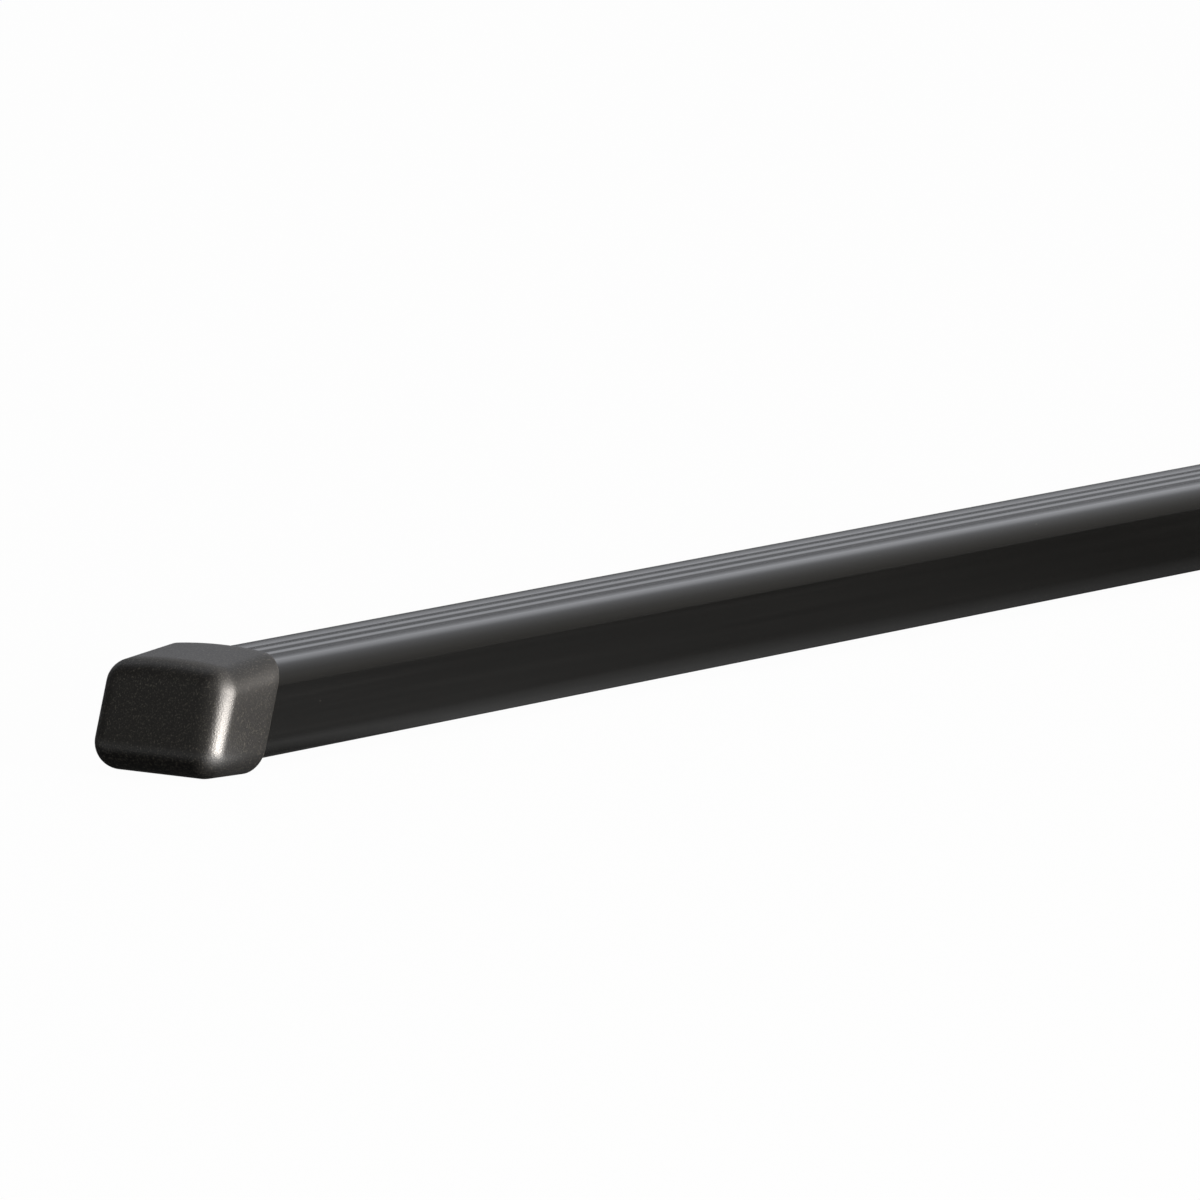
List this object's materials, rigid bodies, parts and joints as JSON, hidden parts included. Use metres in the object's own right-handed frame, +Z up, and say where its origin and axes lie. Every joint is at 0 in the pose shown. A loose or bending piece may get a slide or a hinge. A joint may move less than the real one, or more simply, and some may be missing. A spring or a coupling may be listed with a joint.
{
  "type": "roof rack crossbar",
  "caption": "Rectangular steel load bar in a black plastic sheath with a ribbed top, closed by raked plastic end caps; roof rack feet and carriers clamp round it.",
  "frame": {"origin": "on the ground below the middle of the bar, level with the lower rims of the end caps", "axes": "+X along the bar, +Y across it, +Z up, out of the ribbed top"},
  "size_m": [1.2024, 0.0366, 0.0278],
  "materials": {
    "tube_steel": "zinc-coated cold-rolled steel, satin",
    "sheath_plastic": "black extruded plastic, satin gloss",
    "cap_plastic": "black moulded plastic, fine spark-eroded grain"
  },
  "bodies": {
    "root": {"steel_tube": "tube_steel", "sheath": "sheath_plastic", "end_cap_left": "cap_plastic", "end_cap_right": "cap_plastic"}
  },
  "joints": []
}
